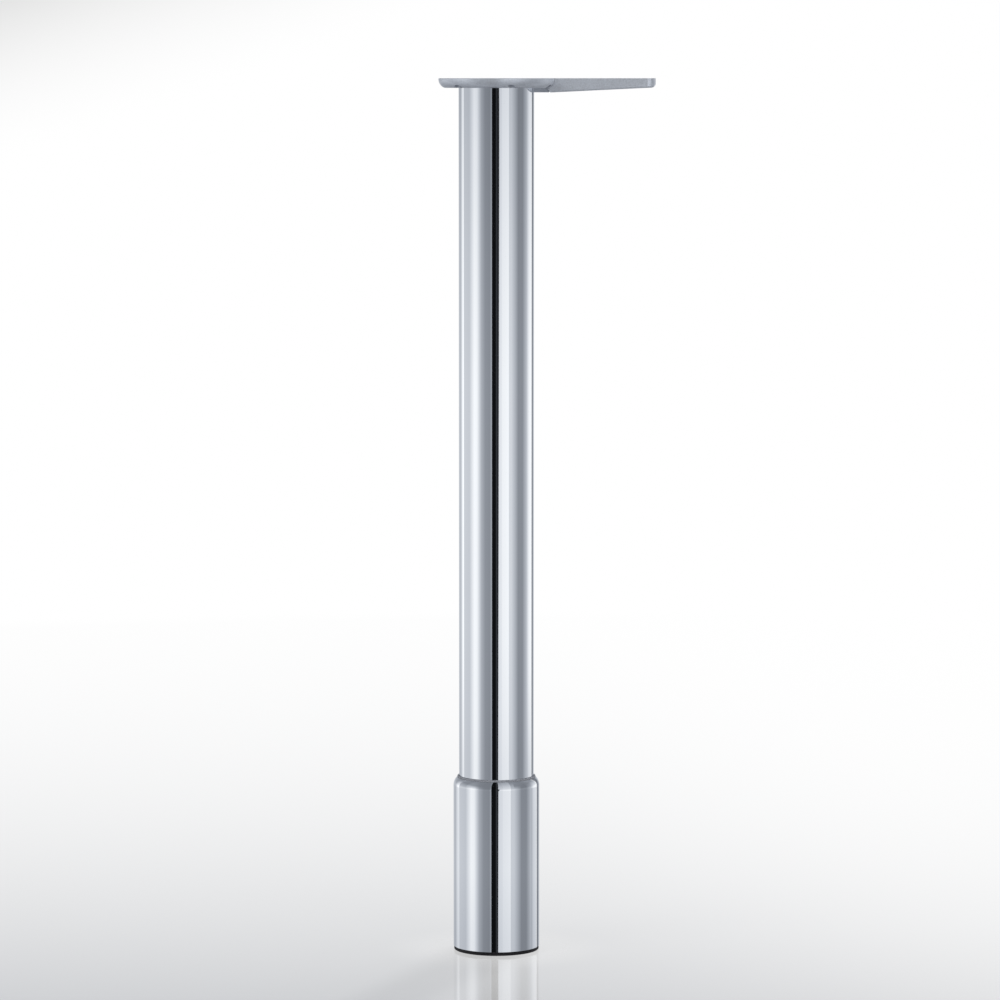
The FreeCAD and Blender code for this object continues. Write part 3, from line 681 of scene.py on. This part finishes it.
# The camera's sensor, in millimetres, and how far it sees, in metres.
SENSOR_WIDTH = 36.0
SIGHT = 100.0


class Lamp(typing.NamedTuple):
    """A round soft lamp, with its place and width in metres and its power in watts."""

    name: str
    place: tuple
    width: float
    power: float


LAMPS = (
    Lamp("key_lamp", (-2.2, -1.8, 2.4), 1.8, 42.0),
    Lamp("fill_lamp", (1.6, -3.0, 1.2), 1.8, 28.0),
    Lamp("back_lamp", (1.6, 2.4, 2.6), 1.5, 31.5),
)
LAMP_AIM = (0.0, 0.0, 0.4)


def card_surface(card, centre, distance):
    """Points and light of a card, over a grid of columns by heights on a globe round the leg.

    Overhead, front cards narrow less than the globe: sin(plank) = sin(across) / cos(up) ^ OVERHEAD_POWER.
    Up to FADE_START a card has its own light, and from there to its fade it turns into the crown's light.
    Below LOW_START it sinks to its low share.
    """
    heights = np.unique(np.concatenate([np.linspace(*band) for band in CARD_BANDS]))
    along, up = np.meshgrid(np.linspace(0, 1, CARD_COLUMNS), heights, indexing="ij")
    lean = np.interp(up, LEAN_HEIGHTS, LEAN_SHARES)
    left = card.start + card.lean_start * lean
    right = card.end + card.lean_end * lean
    across, high = np.radians(left + (right - left) * along), np.radians(up)
    plank = np.arcsin(np.clip(np.sin(across) / np.cos(high) ** OVERHEAD_POWER, -1, 1))
    across = np.where((up > 0) & (np.cos(across) > 0), plank, across)
    globe = [np.cos(high) * np.sin(across), -np.cos(high) * np.cos(across), np.sin(high)]
    points = centre + distance * np.stack(globe, axis=-1)
    plain = card.light_start + (card.light_end - card.light_start) * along
    crown = np.where(plain < CROWN_LIGHT, plain, CROWN_LIGHT + CROWN_SHARE * plain)
    fade = np.clip((up - FADE_START) / (card.fade - FADE_START), 0, 1)
    sunk = np.clip((LOW_START - up) / (LOW_START - LOW_END), 0, 1)
    light = plain * np.interp(up, CARD_HEIGHTS, CARD_LIGHTS) * (1 - (1 - card.low) * sunk)
    return points, light + (crown - light) * fade


def studio_card():
    """Glowing card, as bright as its glow attribute says and cooler where it is dark."""
    look = new_look("studio_card")
    glow = look.node("ShaderNodeAttribute", {"attribute_name": "glow"}, out="Fac")
    tint = look.mix(look.clamp(glow), CARD_SHADE, CARD_WHITE)
    look.close(look.node("ShaderNodeEmission", None, {"Color": tint, "Strength": glow}))
    return look.owner


def painted_foot_shadow(look, side, depth):
    """The foot's soft painted shadow, a band that runs forward and to the left: 1 in its middle and 0
    outside it.
    """
    turn = math.radians(SHADOW_TURN)
    along = side * -math.sin(turn) - depth * math.cos(turn)
    across = look.math("ABSOLUTE", side * math.cos(turn) - depth * math.sin(turn))
    band = 1 - look.step(across, *SHADOW_EDGE)
    return band * look.step(along, *SHADOW_START) * (1 - look.step(along, *SHADOW_END))


def pale_floor(stage):
    """Pale paper with painted shade by the foot and a white glow behind it and far away; mirrors where it
    isn't white.
    """
    look = new_look("pale_floor")
    place = look.place()
    side, depth, _ = look.axes(place)
    reach = look.math("SQRT", side * side + depth * depth)
    right = look.step(side, *FLOOR_RIGHT)
    # Painted shade: the share of white glow falls off towards the foot and to the left, so the darker
    # lamp-lit paper shows there.
    dusk = stage.floor_dusk * (1 - RIGHT_LIGHTER * right)
    behind = look.math("MAXIMUM", depth, FLOOR_FRONT)
    fade = look.math("EXPONENT", behind * (-1 - RIGHT_FASTER * right) / stage.floor_fade)
    far = look.clamp(look.math("MAXIMUM", 1 - dusk * fade, look.step(reach, *FLOOR_WHITE)))
    paper = look.noise(place, scale=40.0, detail=3.0)
    # Painted shade from left to right, mixed with the paper's random mottle.
    change = look.clamp(paper * 0.3 + look.step(side, *PAPER_SIDES) * 0.7)
    near = look.mix(change, shade(stage.floor_near, 0.97), shade(stage.floor_near, 1.03))
    # Painted shadow: the floor's white glow is darkened in the foot's shadow band.
    lit = look.mix(painted_foot_shadow(look, side, depth), grey(1.0), grey(SHADOW_LIGHT))
    ring = RING_SHINE + (1 - RING_SHINE) * look.step(reach, *RING_EDGE)
    shine = look.clamp(stage.gloss * (1 - far) * ring)
    matte = look.node("ShaderNodeBsdfDiffuse", None, {"Color": near})
    glow = look.node("ShaderNodeEmission", None, {"Color": lit, "Strength": 1.0})
    mirror = look.node("ShaderNodeBsdfGlossy", None, {"Color": grey(1.0), "Roughness": MIRROR_BLUR})
    clear = look.node("ShaderNodeBsdfTransparent")
    under = look.node("ShaderNodeNewGeometry", out="Backfacing")
    sheet = look.blend(shine, look.blend(far, matte, glow), mirror)
    look.close(look.blend(under, sheet, clear))
    return look.owner


class LEG_OT_stage(bpy.types.Operator):
    """Sets up the camera, floor, cards and lamps"""

    bl_idname = "table_leg.stage"
    bl_label = "Studio"

    def execute(self, context):
        stage = context.scene.leg_stage
        self.camera(context, stage)
        self.world(context, stage)
        self.floor(stage)
        self.cards(stage)
        self.lamps(context)
        context.scene.view_settings.view_transform = "Standard"
        return {"FINISHED"}

    def camera(self, context, stage):
        """Sets the camera up in front of the leg."""
        data = bpy.data.cameras.new("photo_camera")
        data.lens = stage.lens
        data.sensor_width = SENSOR_WIDTH
        data.clip_end = SIGHT
        camera = bpy.data.objects.new("photo_camera", data)
        camera.location = (stage.aside, -stage.distance, stage.height)
        camera.rotation_euler = (math.pi / 2 - stage.pitch, 0, 0)
        context.scene.collection.objects.link(camera)
        context.scene.camera = camera

    def world(self, context, stage):
        """White where it is seen or mirrored, with painted shade in one grey corner, and an even room light
        elsewhere.
        """
        world = bpy.data.worlds.new("studio_world")
        context.scene.world = world
        look = Look(world)
        path = look.tree.nodes.new("ShaderNodeLightPath")
        seen, mirrored, through = (
            Value(look, path.outputs[name])
            for name in ("Is Camera Ray", "Is Glossy Ray", "Is Transmission Ray")
        )
        shown = look.math("MAXIMUM", look.math("MAXIMUM", seen, mirrored), through)
        across, _, up = look.axes(look.node("ShaderNodeTexCoord", out="Generated"))
        room = stage.daylight * (ROOM_BELOW + (1 - ROOM_BELOW) * look.step(up, *ROOM_RISE))
        # Painted shade: the backdrop darkens to the corner's grey in its upper left.
        corner = look.clamp((up - CORNER_SLOPE * across - CORNER_START) / CORNER_FADE)
        inputs = {
            "Color": look.mix(corner * corner, grey(1.0), grey(stage.corner)),
            "Strength": shown * (1 - room) + room,
        }
        look.close(look.node("ShaderNodeBackground", None, inputs))

    def floor(self, stage):
        """Lays a flat sheet under the glide, which goes with it at each height of the foot."""
        across = np.linspace(-FLOOR_REACH, FLOOR_REACH, FLOOR_LINES)
        x, y = np.meshgrid(across, across)
        points = np.stack([x, y, np.zeros_like(x)], axis=-1).reshape(-1, 3)
        floor = new_piece("floor", points, grid_faces(*x.shape, wrap=False))
        floor.data.materials.append(pale_floor(stage))
        floor.visible_glossy = False
        floor.visible_diffuse = False
        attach(floor, "glide")
        floor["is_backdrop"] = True

    def cards(self, stage):
        """Hangs the cards round the leg's middle, where only mirrors see them."""
        material = studio_card()
        centre = np.array([0.0, 0.0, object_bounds()[1][2] / 2])
        for card in CARDS:
            points, light = card_surface(card, centre, stage.card_distance)
            faces = grid_faces(*light.shape, wrap=False)
            piece = new_piece(f"card_{card.name}", points.reshape(-1, 3), faces)
            glow = piece.data.attributes.new("glow", "FLOAT", "POINT")
            glow.data.foreach_set("value", light.reshape(-1).astype(np.float32))
            piece.data.materials.append(material)
            piece.visible_camera = False
            piece.visible_diffuse = False
            piece.visible_shadow = False
            piece.visible_transmission = False
            piece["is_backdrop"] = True

    def lamps(self, context):
        """Hangs the soft lamps, which mirrors don't show."""
        for lamp in LAMPS:
            data = bpy.data.lights.new(lamp.name, "AREA")
            data.shape = "DISK"
            data.size = lamp.width
            data.energy = lamp.power
            holder = bpy.data.objects.new(lamp.name, data)
            holder.location = lamp.place
            back = np.array(lamp.place) - np.array(LAMP_AIM)
            tilt = math.acos(back[2] / np.linalg.norm(back))
            holder.rotation_euler = (tilt, 0, math.atan2(back[1], back[0]) + math.pi / 2)
            holder.visible_glossy = False
            context.scene.collection.objects.link(holder)


OPERATORS = (
    LEG_OT_chrome,
    LEG_OT_bracket,
    LEG_OT_plastics,
    LEG_OT_hardware,
    LEG_OT_spindle,
    LEG_OT_stage,
)
GROUPS = {
    "leg_finish": LEG_PG_finish,
    "leg_thread": LEG_PG_thread,
    "leg_stage": LEG_PG_stage,
}


class LEG_PT_panel(bpy.types.Panel):
    """Lists the leg's pieces and sizes"""

    bl_idname = "LEG_PT_panel"
    bl_label = "Table Leg"
    bl_space_type = "VIEW_3D"
    bl_region_type = "UI"
    bl_category = "Table Leg"

    def draw(self, context):
        for operator in OPERATORS:
            self.layout.operator(operator.bl_idname)
        for name, group in GROUPS.items():
            box = self.layout.box()
            for entry in group.__annotations__:
                box.prop(getattr(context.scene, name), entry)


def register():
    """Makes the operators, the panel and the settings known."""
    for group in GROUPS.values():
        bpy.utils.register_class(group)
    for item in (*OPERATORS, LEG_PT_panel):
        bpy.utils.register_class(item)
    for name, group in GROUPS.items():
        setattr(bpy.types.Scene, name, bpy.props.PointerProperty(type=group))


def unregister():
    """Takes them away again."""
    for name in GROUPS:
        delattr(bpy.types.Scene, name)
    for item in (LEG_PT_panel, *reversed(OPERATORS)):
        bpy.utils.unregister_class(item)
    for group in GROUPS.values():
        bpy.utils.unregister_class(group)


def main():
    """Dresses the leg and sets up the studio."""
    register()
    bpy.ops.table_leg.chrome()
    bpy.ops.table_leg.bracket()
    bpy.ops.table_leg.plastics()
    bpy.ops.table_leg.hardware()
    bpy.ops.table_leg.spindle()
    bpy.ops.table_leg.stage()


if __name__ == "__main__":
    main()
